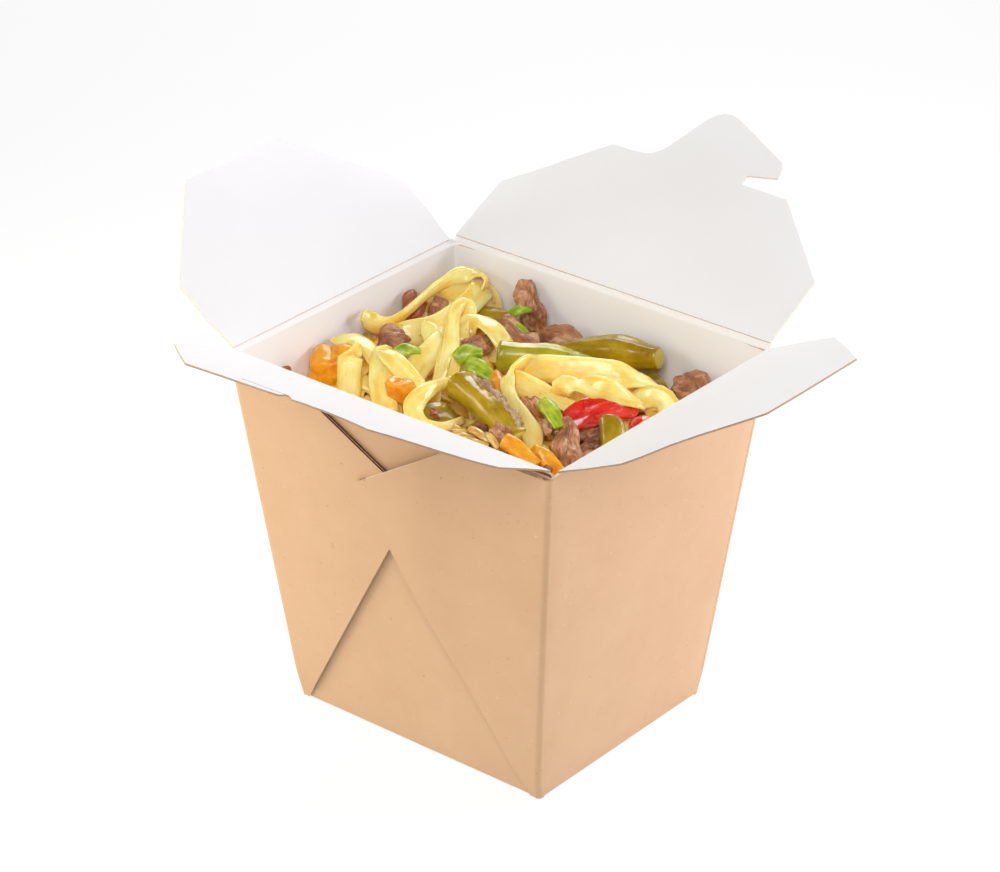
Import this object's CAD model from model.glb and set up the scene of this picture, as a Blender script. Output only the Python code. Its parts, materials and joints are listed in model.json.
import math
import random

import bpy
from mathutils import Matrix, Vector, noise
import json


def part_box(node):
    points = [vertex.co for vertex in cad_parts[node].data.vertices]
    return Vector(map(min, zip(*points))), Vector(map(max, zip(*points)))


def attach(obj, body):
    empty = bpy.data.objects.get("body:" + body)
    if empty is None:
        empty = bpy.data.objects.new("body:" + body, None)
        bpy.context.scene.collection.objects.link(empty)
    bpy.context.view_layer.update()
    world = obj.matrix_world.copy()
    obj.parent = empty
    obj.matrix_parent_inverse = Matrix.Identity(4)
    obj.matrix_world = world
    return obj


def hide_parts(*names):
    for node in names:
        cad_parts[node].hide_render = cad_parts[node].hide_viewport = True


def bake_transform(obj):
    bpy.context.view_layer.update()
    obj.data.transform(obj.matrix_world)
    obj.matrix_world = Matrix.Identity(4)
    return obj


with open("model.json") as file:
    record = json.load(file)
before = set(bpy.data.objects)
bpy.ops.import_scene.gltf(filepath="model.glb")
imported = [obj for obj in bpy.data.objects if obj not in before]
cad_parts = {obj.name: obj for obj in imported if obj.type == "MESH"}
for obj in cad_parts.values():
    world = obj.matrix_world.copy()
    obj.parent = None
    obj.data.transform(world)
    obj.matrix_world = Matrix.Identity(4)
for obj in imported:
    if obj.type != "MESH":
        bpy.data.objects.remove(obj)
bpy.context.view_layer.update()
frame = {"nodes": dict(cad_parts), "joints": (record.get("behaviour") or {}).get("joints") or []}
MM = 0.001


# ---------------------------------------------------------------- stage
# A plain pale floor under soft white light: a bright room all round, a broad soft box on each side of
# the box and one above. The camera stands off the box's front corner and looks down into it.

bpy.context.scene.view_settings.view_transform = "Standard"
room = bpy.data.worlds.new("white_room")
room.use_nodes = True
room.node_tree.nodes["Background"].inputs["Color"].default_value = (1.0, 0.985, 0.975, 1)
room.node_tree.nodes["Background"].inputs["Strength"].default_value = 0.12
bpy.context.scene.world = room

bpy.ops.mesh.primitive_plane_add(size=9, location=(0, 0, -0.0002))
floor = bpy.context.object
floor.name = "floor"
floor_finish = bpy.data.materials.new("floor_white")
floor_finish.use_nodes = True
table_top = floor_finish.node_tree.nodes["Principled BSDF"]
table_top.inputs["Base Color"].default_value = (0.3, 0.3, 0.3, 1)
table_top.inputs["Roughness"].default_value = 0.9
table_top.inputs["Specular IOR Level"].default_value = 0.1
table_top.inputs["Emission Color"].default_value = (1, 1, 1, 1)
table_top.inputs["Emission Strength"].default_value = 0.71
floor.data.materials.append(floor_finish)


def soft_box(name, place, size, power, colour=(1, 1, 1), aim=(0, 0, 0.06)):
    """A square soft light that shines at the box."""
    away = Vector(place) - Vector(aim)
    bpy.ops.object.light_add(type="AREA", location=place, rotation=away.to_track_quat("Z", "Y").to_euler())
    light = bpy.context.object
    light.name = name
    light.data.size = size
    light.data.energy = power
    light.data.color = colour
    light.visible_camera = False


soft_box("light_left", (-0.21, -0.15, 0.13), 0.20, 0.66, (1.0, 1.0, 0.88))
soft_box("light_right", (0.22, 0.28, 0.16), 0.26, 1.65, (0.97, 0.99, 1.1))
soft_box("light_back", (-0.5, 0.75, 0.7), 0.5, 4.5)
soft_box("light_front", (0.42, -0.62, 0.85), 0.6, 7.4)

bpy.ops.object.camera_add(location=(0.5247, -0.6392, 0.5084))
camera = bpy.context.object
camera.name = "camera"
camera.rotation_euler = (math.radians(90 - 27.605), 0, math.radians(39.388))
camera.data.lens = 133.08
camera.data.sensor_width = 36
bpy.context.scene.camera = camera


# ---------------------------------------------------------------- board finishes
# The box is one sheet of paperboard: brown kraft with fine fibres and specks on the outside, a white
# coating on the inside, and a raw edge where the die cut it.


def tone(red, green, blue):
    """A colour from 0 to 255 a channel, as a screen shows it, in the renderer's linear values."""
    linear = [((c / 255 + 0.055) / 1.055) ** 2.4 if c > 10 else c / 3294.6 for c in (red, green, blue)]
    return (*linear, 1)


class Wire:
    """One socket of a finish. Arithmetic on wires adds Math nodes, and node() adds any other node."""

    def __init__(self, tree, socket):
        self.tree = tree
        self.socket = socket

    def sum(self, operation, first, second):
        return self.node("Math", {"operation": operation}, {0: first, 1: second})

    def __add__(self, other):
        return self.sum("ADD", self, other)

    def __radd__(self, other):
        return self.sum("ADD", other, self)

    def __sub__(self, other):
        return self.sum("SUBTRACT", self, other)

    def __rsub__(self, other):
        return self.sum("SUBTRACT", other, self)

    def __mul__(self, other):
        return self.sum("MULTIPLY", self, other)

    def __rmul__(self, other):
        return self.sum("MULTIPLY", other, self)

    def __truediv__(self, other):
        return self.sum("DIVIDE", self, other)

    def __pow__(self, other):
        return self.sum("POWER", self, other)

    def node(self, kind, settings=None, inputs=None, output=0):
        """Add a node: first its settings, then the values or wires of its sockets."""
        made = self.tree.nodes.new("ShaderNode" + kind)
        for name, value in (settings or {}).items():
            if name == "stops":
                while len(made.color_ramp.elements) < len(value):
                    made.color_ramp.elements.new(0.5)
                for stop, (place, colour) in zip(made.color_ramp.elements, value):
                    stop.position = place
                    stop.color = colour
            else:
                setattr(made, name, value)
        for name, value in (inputs or {}).items():
            if isinstance(value, Wire):
                self.tree.links.new(value.socket, made.inputs[name])
            else:
                made.inputs[name].default_value = value
        return Wire(self.tree, made.outputs[output])

    def grain(self, scale, detail=3.0, rough=0.55, warp=0.0):
        """Noise on this wire's coordinates, from 0 to 1."""
        return self.node(
            "TexNoise", {},
            {"Vector": self, "Scale": scale, "Detail": detail, "Roughness": rough, "Distortion": warp},
        )

    def stretched(self, x=1, y=1, z=1, turn=(0, 0, 0)):
        """This wire's coordinates, scaled along each axis after a turn."""
        turned = self.node("Mapping", {}, {"Vector": self, "Rotation": turn})
        return turned.node("Mapping", {}, {"Vector": turned, "Scale": (x, y, z)})

    def band(self, low, high):
        """0 below low, 1 above high and a smooth ramp between."""
        return self.node(
            "MapRange", {"interpolation_type": "SMOOTHSTEP"},
            {"Value": self, "From Min": low, "From Max": high},
        )

    def mixed(self, first, second):
        """Two colours mixed by this wire."""
        return self.node(
            "Mix", {"data_type": "RGBA"}, {"Factor": self, 6: first, 7: second}, output=2,
        )

    def height(self, strength, distance):
        """A bump that stands as high as this wire says."""
        return self.node("Bump", {}, {"Height": self, "Strength": strength, "Distance": distance})


def new_finish(name, coordinates="Object", **constants):
    """A Principled finish with its constants set, and its shader and coordinates for the rest."""
    finish = bpy.data.materials.new(name)
    finish.use_nodes = True
    tree = finish.node_tree
    shader = tree.nodes["Principled BSDF"]
    for name, value in constants.items():
        shader.inputs[name.replace("_", " ")].default_value = value
    if coordinates == "Object":
        source = tree.nodes.new("ShaderNodeTexCoord").outputs["Object"]
    else:
        attribute = tree.nodes.new("ShaderNodeAttribute")
        attribute.attribute_name = coordinates
        source = attribute.outputs["Vector"]
    return finish, Wire(tree, source)


def connect(finish, **wires):
    """Lead wires to the sockets of a finish's shader."""
    tree = finish.node_tree
    for name, wire in wires.items():
        tree.links.new(wire.socket, tree.nodes["Principled BSDF"].inputs[name.replace("_", " ")])


kraft, at = new_finish("kraft_outside", Roughness=0.72, Specular_IOR_Level=0.35)
cloudy = at.grain(22, 3)
mottled = at.grain(160, 4, 0.65)
fibres = at.stretched(1, 1, 5).grain(900, 2, 0.7, 1.5)
specks = at.grain(1100, 1, 0.4).band(0.735, 0.80)
pale_specks = at.grain(900, 1, 0.4).band(0.74, 0.81)
paper = (cloudy * 0.45 + mottled * 0.35 + fibres * 0.2).mixed(tone(192, 150, 110), tone(217, 180, 144))
paper = (specks * 0.4).mixed(paper, tone(150, 106, 70))
paper = (pale_specks * 0.28).mixed(paper, tone(240, 210, 174))
connect(
    kraft, Base_Color=paper, Roughness=0.64 + mottled * 0.2,
    Normal=(fibres * 0.6 + mottled * 0.8).height(0.25, 0.0002),
)

coated, at = new_finish("white_inside", Roughness=0.5, Specular_IOR_Level=0.4)
soft_grain = at.grain(300, 3, 0.6)
cloud = at.grain(30, 2)
connect(
    coated, Base_Color=cloud.mixed(tone(238, 236, 235), tone(244, 242, 241)),
    Roughness=0.42 + soft_grain * 0.16, Normal=soft_grain.height(0.12, 0.0001),
)

raw_edge, at = new_finish("cut_edge", Roughness=0.9, Specular_IOR_Level=0.2)
layers = at.grain(2500, 2, 0.6)
connect(raw_edge, Base_Color=layers.mixed(tone(196, 168, 140), tone(232, 212, 188)))

browned_edge, at = new_finish("cut_edge_brown", Roughness=0.9, Specular_IOR_Level=0.2)
layers = at.grain(2500, 2, 0.6)
connect(browned_edge, Base_Color=layers.mixed(tone(146, 118, 94), tone(190, 162, 134)))

score_line, at = new_finish("kraft_score", Roughness=0.85, Specular_IOR_Level=0.2)
cracked = at.stretched(1, 5, 5).grain(700, 3, 0.6)
connect(score_line, Base_Color=cracked.mixed(tone(86, 54, 34), tone(140, 98, 66)))


# ---------------------------------------------------------------- tray
# Base and four walls of the box, tapering to the base, folded from 0.45 mm board. The vertical folds
# are soft, the walls bow out a little between them, and the inside is coated white.

RIM_X = 103 * MM
RIM_Y = 87 * MM
BASE_X = 80 * MM
BASE_Y = 66 * MM
FULL_HEIGHT = 100 * MM
BOARD = 0.45 * MM
FOLD_RADIUS = 1.0 * MM
BOW = 0.7 * MM
wall_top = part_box("box_body")[1].z
OUTSIDE, INSIDE, EDGE = 0, 1, 2
HAIR = 0.001 * MM
SIDE_DROP = 0.5 * MM


def pick(piece):
    """Leave one piece selected and active."""
    bpy.ops.object.mode_set(mode="OBJECT") if bpy.context.object and bpy.context.object.mode != "OBJECT" else None
    bpy.ops.object.select_all(action="DESELECT")
    piece.select_set(True)
    bpy.context.view_layer.objects.active = piece


def modify(piece, kind, **settings):
    """Add a modifier to a piece and apply it."""
    pick(piece)
    modifier = piece.modifiers.new(kind.lower(), kind)
    for name, value in settings.items():
        setattr(modifier, name, value)
    bpy.ops.object.modifier_apply(modifier=modifier.name)


def half_x(z):
    """Half the outside width across the side walls at a height."""
    return (BASE_X + (RIM_X - BASE_X) * z / FULL_HEIGHT) / 2


def half_y(z):
    """Half the outside width across the lapped walls at a height."""
    return (BASE_Y + (RIM_Y - BASE_Y) * z / FULL_HEIGHT) / 2


def give_board(piece, outside=kraft, edge=raw_edge):
    """The three finishes of the board, in the order outside, inside, edge."""
    for finish in (outside, coated, edge):
        piece.data.materials.append(finish)


def bowed(place, amount=BOW):
    """A point on a wall, pushed out as the wall bows between its folds."""
    x_share = place.x / half_x(place.z)
    y_share = place.y / half_y(place.z)
    rise = math.sin(math.pi * min(max(place.z / wall_top, 0), 1)) ** 0.8
    out = Vector((0, 0, 0))
    if abs(x_share) > 0.9:
        out.x = math.copysign(amount * rise * max(0, 1 - y_share ** 2) ** 1.2, place.x)
    if abs(y_share) > 0.9:
        out.y = math.copysign(amount * rise * max(0, 1 - x_share ** 2) ** 1.2, place.y)
    return place + out


bpy.ops.object.select_all(action="DESELECT")
bpy.ops.mesh.primitive_cube_add(size=2, location=(0, 0, 0))
tray = bpy.context.object
tray.name = "box_tray"
for vertex in tray.data.vertices:
    z = wall_top if vertex.co.z > 0 else 0
    vertex.co = (math.copysign(half_x(z), vertex.co.x), math.copysign(half_y(z), vertex.co.y), z)
bpy.ops.object.mode_set(mode="EDIT")
bpy.ops.mesh.select_mode(type="FACE")
bpy.ops.mesh.select_all(action="DESELECT")
bpy.ops.object.mode_set(mode="OBJECT")
for face in tray.data.polygons:
    face.select = face.normal.z > 0.9
bpy.ops.object.mode_set(mode="EDIT")
bpy.ops.mesh.delete(type="FACE")
bpy.ops.mesh.select_mode(type="EDGE")
bpy.ops.mesh.select_all(action="DESELECT")
bpy.ops.object.mode_set(mode="OBJECT")
for edge in tray.data.edges:
    a, b = (tray.data.vertices[i].co for i in edge.vertices)
    edge.select = abs(a.z - b.z) > wall_top / 2 or max(a.z, b.z) < MM
bpy.ops.object.mode_set(mode="EDIT")
bpy.ops.mesh.bevel(offset=FOLD_RADIUS, segments=4, profile=0.5, affect="EDGES")
bpy.ops.object.mode_set(mode="OBJECT")


def cut_across(piece, axis, low, high, step):
    """Cut a sheet right across at even steps, so that it can bend."""
    pick(piece)
    bpy.ops.object.mode_set(mode="EDIT")
    count = int((high - low) / step)
    normal = [0, 0, 0]
    normal[axis] = 1
    for i in range(1, count):
        place = [0, 0, 0]
        place[axis] = low + (high - low) * i / count
        bpy.ops.mesh.select_all(action="SELECT")
        bpy.ops.mesh.bisect(plane_co=place, plane_no=normal, threshold=HAIR)
    bpy.ops.object.mode_set(mode="OBJECT")


cut_across(tray, 2, 0, wall_top, 6 * MM)
cut_across(tray, 0, -RIM_X / 2, RIM_X / 2, 8 * MM)
cut_across(tray, 1, -RIM_Y / 2, RIM_Y / 2, 8 * MM)
# the side walls stop a little lower, so that their flaps close over them
for vertex in tray.data.vertices:
    if vertex.co.z > wall_top - MM and abs(vertex.co.x) > half_x(wall_top) - 1.5 * MM:
        vertex.co.z -= SIDE_DROP
    vertex.co = bowed(vertex.co)
give_board(tray)
modify(
    tray, "SOLIDIFY", thickness=BOARD, offset=-1, use_even_offset=True,
    material_offset=INSIDE, material_offset_rim=EDGE,
)
bpy.ops.object.shade_smooth_by_angle(angle=math.radians(40))
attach(tray, "root")
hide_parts("box_body")


# ---------------------------------------------------------------- web corners
# The board between two walls isn't cut away: each corner's web is folded in half and laid flat on the
# wide wall. One web laps over the other, and their raw top edges show two layers with a gap.

LAYER_GAP = 0.24 * MM
FOLD_LIFT = 0.2 * MM
UNDER_FOLD_LIFT = 0.1 * MM
WEB_RISE = 1.1 * MM
WEB_FOLD_RADIUS = 1.3 * MM
WEB_INSET = 1.1 * MM
WEB_SINK = 0.2 * MM
WEB_TOP_DROP = 0.9 * MM
FOLD_DARK = 0.8
SCORED = 3
UNDER_WEB = {"crease": 91.3 * MM, "turn": math.radians(-2.0), "shoulder": 21.2 * MM}
OVER_WEB = {"crease": 92.4 * MM, "turn": math.radians(-1.0), "shoulder": 26.9 * MM}
lean_y = math.atan2((RIM_Y - BASE_Y) / 2, FULL_HEIGHT)
lean_x = math.atan2((RIM_X - BASE_X) / 2, FULL_HEIGHT)
slope_y = FULL_HEIGHT / math.cos(lean_y)


def web_corners(crease, turn, shoulder):
    """Where a web's crease starts, its tip, and where its top edge leaves the rim: x and height up the wall."""
    wall_lean = math.atan2((RIM_X - BASE_X) / 2, slope_y)
    other_lean = math.atan2((RIM_Y - BASE_Y) / 2, FULL_HEIGHT / math.cos(lean_x))
    angle = (math.pi / 2 - wall_lean - other_lean) / 2 - wall_lean + turn
    foot = (BASE_X / 2 - WEB_INSET, 0)
    tip = (foot[0] - crease * math.sin(angle), crease * math.cos(angle))
    leaves = (RIM_X / 2 - WEB_INSET - shoulder, slope_y * wall_top / FULL_HEIGHT - WEB_TOP_DROP)
    return foot, tip, leaves


def on_wall(x, up, out):
    """A point on the front wall, given from its middle and its foot, some way out from it."""
    return Vector((
        x,
        -BASE_Y / 2 - up * math.sin(lean_y) - out * math.cos(lean_y),
        up * math.cos(lean_y) - out * math.sin(lean_y),
    ))


def smoothstep(low, high, value):
    """0 below low, 1 above high."""
    t = min(max((value - low) / (high - low), 0), 1)
    return t * t * (3 - 2 * t)


def wrapped(u, z, depth):
    """A point of the web u beyond the start of its fold, wrapped round the corner from the side wall."""
    start = FOLD_RADIUS + depth - WEB_FOLD_RADIUS
    arc = WEB_FOLD_RADIUS * math.pi / 2
    side = half_x(z) - WEB_SINK
    if u < start:
        return Vector((side, -(half_y(z) - FOLD_RADIUS) - u, z))
    if u < start + arc:
        turn = (u - start) / WEB_FOLD_RADIUS
        return Vector((
            side - WEB_FOLD_RADIUS * (1 - math.cos(turn)),
            -(half_y(z) + depth - WEB_FOLD_RADIUS) - WEB_FOLD_RADIUS * math.sin(turn),
            z,
        ))
    return Vector((side - WEB_FOLD_RADIUS - (u - start - arc), -(half_y(z) + depth), z))


def trim(piece, point, direction, keep):
    """Cut the web along a line on the wall and drop the side that isn't kept."""
    wall_normal = Vector((0, -math.cos(lean_y), -math.sin(lean_y)))
    normal = direction.cross(wall_normal).normalized()
    if (keep - point).dot(normal) > 0:
        normal = -normal
    pick(piece)
    bpy.ops.object.mode_set(mode="EDIT")
    bpy.ops.mesh.select_all(action="SELECT")
    bpy.ops.mesh.bisect(plane_co=point, plane_no=normal, clear_outer=True, threshold=HAIR)
    bpy.ops.object.mode_set(mode="OBJECT")


def web(name, shape, over):
    """One web on the front wall at the right hand: outer layer, rounded crease and inner layer."""
    foot, tip, shoulder = web_corners(**shape)
    depth = 2 * BOARD + LAYER_GAP - BOARD / 2
    columns = [FOLD_RADIUS * 0.2]
    while columns[-1] < WEB_FOLD_RADIUS * 2.4:
        columns.append(columns[-1] + 0.35 * MM)
    while columns[-1] < 72 * MM:
        columns.append(columns[-1] + 3 * MM)
    rows = 34
    bpy.ops.object.select_all(action="DESELECT")
    bpy.ops.mesh.primitive_grid_add(x_subdivisions=len(columns) - 1, y_subdivisions=rows, size=2)
    sheet = bpy.context.object
    sheet.name = name
    give_board(sheet)
    for _ in range(2):
        sheet.data.materials.append(score_line)
    top = wall_top - WEB_TOP_DROP * 0.9
    for vertex in sheet.data.vertices:
        i = round((vertex.co.x + 1) / 2 * (len(columns) - 1))
        z = (vertex.co.y + 1) / 2 * top
        vertex.co = wrapped(columns[i], z, depth)
    sheet.data.flip_normals()
    foot_point, tip_point, shoulder_point = (on_wall(*p, depth) for p in (foot, tip, shoulder))
    inside = on_wall(RIM_X / 2 - 8 * MM, 60 * MM, depth)
    trim(sheet, foot_point, tip_point - foot_point, inside)
    trim(sheet, shoulder_point, tip_point - shoulder_point, inside)
    # the inner layer is a copy of the outer one without its corner, just below it
    inner = sheet.copy()
    inner.data = sheet.data.copy()
    bpy.context.collection.objects.link(inner)
    pick(inner)
    bpy.ops.object.mode_set(mode="EDIT")
    bpy.ops.mesh.select_all(action="SELECT")
    side = Vector((1, 0, -math.tan(lean_x))).normalized()
    bpy.ops.mesh.bisect(
        plane_co=(half_x(0) - 2 * WEB_FOLD_RADIUS, 0, 0), plane_no=side, clear_outer=True,
        threshold=HAIR,
    )
    bpy.ops.object.mode_set(mode="OBJECT")
    inward = on_wall(0, 0, 0) - on_wall(0, 0, BOARD + LAYER_GAP)
    crease_line = (tip_point - foot_point).normalized()
    for vertex in inner.data.vertices:
        vertex.co += inward
    # the crease is spun round from the outer layer to the inner one
    pick(sheet)
    bpy.ops.object.mode_set(mode="EDIT")
    bpy.ops.mesh.select_mode(type="EDGE")
    bpy.ops.mesh.select_all(action="DESELECT")
    bpy.ops.object.mode_set(mode="OBJECT")

    def on_crease(place):
        away = place - foot_point
        return (away - crease_line * away.dot(crease_line)).length < 0.02 * MM

    def on_fold(place):
        away = place - foot_point
        return (away - crease_line * away.dot(crease_line)).length < 1.2 * MM

    for edge in sheet.data.edges:
        edge.select = all(on_crease(sheet.data.vertices[i].co) for i in edge.vertices)
    bpy.ops.object.mode_set(mode="EDIT")
    bpy.ops.mesh.spin(
        steps=5, angle=-math.pi, center=foot_point + inward / 2, axis=crease_line,
    )
    bpy.ops.object.mode_set(mode="OBJECT")
    bpy.ops.object.select_all(action="DESELECT")
    inner.select_set(True)
    sheet.select_set(True)
    bpy.context.view_layer.objects.active = sheet
    bpy.ops.object.join()
    bpy.ops.object.mode_set(mode="EDIT")
    bpy.ops.mesh.select_mode(type="VERT")
    bpy.ops.mesh.select_all(action="SELECT")
    bpy.ops.mesh.remove_doubles(threshold=0.03 * MM)
    bpy.ops.mesh.normals_make_consistent(inside=False)
    bpy.ops.object.mode_set(mode="OBJECT")
    outermost = min(sheet.data.polygons, key=lambda f: (f.center - inside).length)
    if outermost.normal.y > 0:
        sheet.data.flip_normals()
    out = Vector((0, -math.cos(lean_y), -math.sin(lean_y)))
    for face in sheet.data.polygons:
        if face.normal.dot(out) < FOLD_DARK and face.center.x < half_x(face.center.z) - 3 * MM and on_fold(face.center):
            face.material_index = SCORED
    # both layers bulge off the wall a little, and the web that laps over climbs onto the other
    for vertex in sheet.data.vertices:
        place = vertex.co.copy()
        far = smoothstep(half_x(place.z) - 4 * MM, half_x(place.z) - 40 * MM, place.x)
        lift = (FOLD_LIFT if over else UNDER_FOLD_LIFT) * far
        if over:
            lift += WEB_RISE * smoothstep(24 * MM, 6 * MM, place.x)
        lift -= 0.9 * depth * (1 - smoothstep(-1 * MM, 9 * MM, place.z))
        bulge = BOW * math.sin(math.pi * min(max(place.z / wall_top, 0), 1)) ** 0.8
        bulge *= max(0, 1 - (place.x / half_x(place.z)) ** 2) ** 1.2
        vertex.co = place + out * (lift + bulge)
    pick(sheet)
    bpy.ops.object.mode_set(mode="EDIT")
    bpy.ops.mesh.select_all(action="SELECT")
    bpy.ops.mesh.bisect(plane_co=(0, 0, BOARD / 2), plane_no=(0, 0, -1), clear_outer=True, threshold=HAIR)
    bpy.ops.object.mode_set(mode="OBJECT")
    return sheet


def finish_web(sheet, turned):
    """Thickness and finishes; a turned web stands on the back wall."""
    modify(
        sheet, "SOLIDIFY", thickness=BOARD, offset=0, use_even_offset=True,
        material_offset=INSIDE, material_offset_rim=EDGE,
    )
    # the fold round the box's corner is whole board, so no cut edge shows there
    for face in sheet.data.polygons:
        if face.material_index == EDGE and abs(face.center.x) > half_x(face.center.z) - 2.5 * MM:
            face.material_index = OUTSIDE
    if turned:
        for vertex in sheet.data.vertices:
            vertex.co = (-vertex.co.x, -vertex.co.y, vertex.co.z)
    pick(sheet)
    bpy.ops.object.shade_smooth_by_angle(angle=math.radians(40))
    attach(sheet, "root")


def mirrored(sheet):
    """The same web at the left hand, its faces turned out again."""
    for vertex in sheet.data.vertices:
        vertex.co.x = -vertex.co.x
    sheet.data.flip_normals()
    return sheet


for turned, where in ((False, "front"), (True, "back")):
    over_web = web(f"web_over_{where}", OVER_WEB, True)
    finish_web(over_web, turned)
    under_web = mirrored(web(f"web_under_{where}", UNDER_WEB, False))
    under_web.data.materials[EDGE] = score_line
    finish_web(under_web, turned)


# ---------------------------------------------------------------- flaps
# Four flaps of the same board, opened out. The two wide ones carry the hook tab and the slit that takes
# it. Each is a flat die-cut panel with a slight warp, white above and brown below.

WARP = 0.6 * MM
SIDE_TRIM = 0.019
ROOT_TRIM = 0.02
HINGES = {joint["child"]: Vector(joint["pos_m"]) for joint in frame["joints"]}


def flap_axes(body, node):
    """A flap's directions at rest: along its hinge, away from it in the board, and up out of the board."""
    hinge = HINGES[body]
    low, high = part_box(node)
    middle = (low + high) / 2
    out = Vector((math.copysign(1, hinge.x), 0, 0)) if abs(hinge.x) > abs(hinge.y) else Vector(
        (0, math.copysign(1, hinge.y), 0))
    reach = (middle - hinge).dot(out)
    away = (out * reach + Vector((0, 0, middle.z - hinge.z))).normalized()
    along = Vector((0, 0, 1)).cross(out)
    return along, away, along.cross(away) * math.copysign(1, along.cross(away).z)


def flap_panel(name, body, node, twist):
    """One panel from its die-cut outline: a sheet cut across so that it can warp, given its board."""
    along, away, up = flap_axes(body, node)
    hinge = HINGES[body]
    panel = frame["nodes"][node].copy()
    panel.data = panel.data.copy()
    panel.name = name
    panel.parent = None
    for key in list(panel.keys()):
        del panel[key]
    bpy.context.collection.objects.link(panel)
    panel.data.materials.clear()
    pick(panel)
    bpy.ops.object.mode_set(mode="EDIT")
    bpy.ops.mesh.select_all(action="SELECT")
    bpy.ops.mesh.remove_doubles(threshold=0.005 * MM)
    bpy.ops.mesh.select_mode(type="FACE")
    bpy.ops.mesh.select_all(action="DESELECT")
    bpy.ops.object.mode_set(mode="OBJECT")
    for face in panel.data.polygons:
        face.select = face.normal.dot(up) < 0.98
    bpy.ops.object.mode_set(mode="EDIT")
    bpy.ops.mesh.delete(type="FACE")
    bpy.ops.mesh.select_all(action="SELECT")
    bpy.ops.mesh.dissolve_limited(angle_limit=math.radians(3))
    for direction, reach in ((along, 55 * MM), (away, 70 * MM)):
        place = -reach
        while place < reach:
            bpy.ops.mesh.select_all(action="SELECT")
            bpy.ops.mesh.bisect(
                plane_co=hinge + direction * place, plane_no=direction, threshold=HAIR,
            )
            place += 5 * MM
    bpy.ops.object.mode_set(mode="OBJECT")
    for vertex in panel.data.vertices:
        local = vertex.co - hinge
        u, v = local.dot(along), local.dot(away)
        bend = WARP * smoothstep(4 * MM, 30 * MM, v)
        if name in ("panel_right", "panel_left"):
            bend *= smoothstep(42 * MM, 32 * MM, abs(u))
            narrower = SIDE_TRIM + ROOT_TRIM * smoothstep(9 * MM, 3 * MM, v)
            vertex.co -= along * u * narrower
        lift = bend * noise.noise(Vector((u, v, hinge.x * 30)) * 28) * 2
        leaning = v * u / (50 * MM) * twist
        lift += min(leaning, 0.3 * leaning)
        vertex.co += up * (lift - 0.02 * MM)
    give_board(panel, edge=browned_edge if name in ("panel_slot", "panel_right") else raw_edge)
    panel.data.flip_normals()
    modify(
        panel, "SOLIDIFY", thickness=BOARD, offset=-1, use_even_offset=True,
        material_offset=INSIDE, material_offset_rim=EDGE,
    )
    pick(panel)
    bpy.ops.object.shade_smooth_by_angle(angle=math.radians(35))
    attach(panel, body)
    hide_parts(node)


for side, twist in (("tab", 0.0), ("slot", 0.03), ("right", 0.0), ("left", 0.0)):
    flap_panel(f"panel_{side}", f"{side}_flap", f"flap_{side}", twist)


# ---------------------------------------------------------------- creases
# Between each wall and its flap the board is scored and bent: a narrow rounded band, white inside and
# brown outside, which folds further as the flap moves.

CREASE_STEPS = 8
HINGE_CLEAR = 0.35 * MM


def crease(side, half_width):
    """The bent band of one flap, from the wall's top edge to the flap's first edge."""
    body = f"{side}_flap"
    along, away, up = flap_axes(body, f"flap_{side}")
    hinge = HINGES[body]
    out = Vector((hinge.x, hinge.y, 0)).normalized()
    lean = lean_x if abs(hinge.x) > abs(hinge.y) else lean_y
    half = half_x if abs(hinge.x) > abs(hinge.y) else half_y
    edge = wall_top - (SIDE_DROP if half is half_x else 0)
    start = out * (half(edge) - BOARD / 2 / math.cos(lean)) + Vector((0, 0, edge))
    rising = (out * math.sin(lean) + Vector((0, 0, math.cos(lean))))
    end = hinge + away * HINGE_CLEAR
    reach = (end - start).length
    bpy.ops.object.select_all(action="DESELECT")
    bpy.ops.mesh.primitive_grid_add(x_subdivisions=20, y_subdivisions=CREASE_STEPS, size=2)
    band = bpy.context.object
    band.name = f"crease_{side}"
    for vertex in band.data.vertices:
        t = (vertex.co.y + 1) / 2
        place = (start * (2 * t ** 3 - 3 * t ** 2 + 1) + rising * reach * (t ** 3 - 2 * t ** 2 + t)
                 + end * (3 * t ** 2 - 2 * t ** 3) + away * reach * (t ** 3 - t ** 2))
        vertex.co = place + along * vertex.co.x * half_width
    if band.data.polygons[0].normal.dot(out) < 0:
        band.data.flip_normals()
    give_board(band, outside=score_line if side == "slot" else kraft)
    modify(
        band, "SOLIDIFY", thickness=BOARD, offset=0, use_even_offset=True,
        material_offset=INSIDE, material_offset_rim=EDGE,
    )
    pick(band)
    bpy.ops.object.shade_smooth_by_angle(angle=math.radians(50))
    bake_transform(band)


WIDE_HALF = 51.2 * MM
SIDE_HALF = 43.2 * MM
for side, half_width in (("tab", WIDE_HALF), ("slot", WIDE_HALF), ("right", SIDE_HALF), ("left", SIDE_HALF)):
    crease(side, half_width)


# ---------------------------------------------------------------- middle of the noodle heap
# The portion of noodles fills the box in one heap. Its middle never shows: it is one lump, dropped a
# little under the heap's outline to leave room for the noodles that lie on it.

CORE_DROP = 5.5 * MM
CELL = 1.0 * MM



def cad_copy(node, name):
    """A copy of a CAD solid that can be shaped: its loose triangles merged."""
    piece = frame["nodes"][node].copy()
    piece.data = piece.data.copy()
    piece.name = name
    piece.parent = None
    for key in list(piece.keys()):
        del piece[key]
    bpy.context.collection.objects.link(piece)
    piece.data.materials.clear()
    pick(piece)
    bpy.ops.object.mode_set(mode="EDIT")
    bpy.ops.mesh.select_all(action="SELECT")
    bpy.ops.mesh.remove_doubles(threshold=0.005 * MM)
    bpy.ops.object.mode_set(mode="OBJECT")
    return piece


core = cad_copy("noodle_heap", "noodle_core")


def cell(x, y):
    return round(x / CELL), round(y / CELL)


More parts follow.
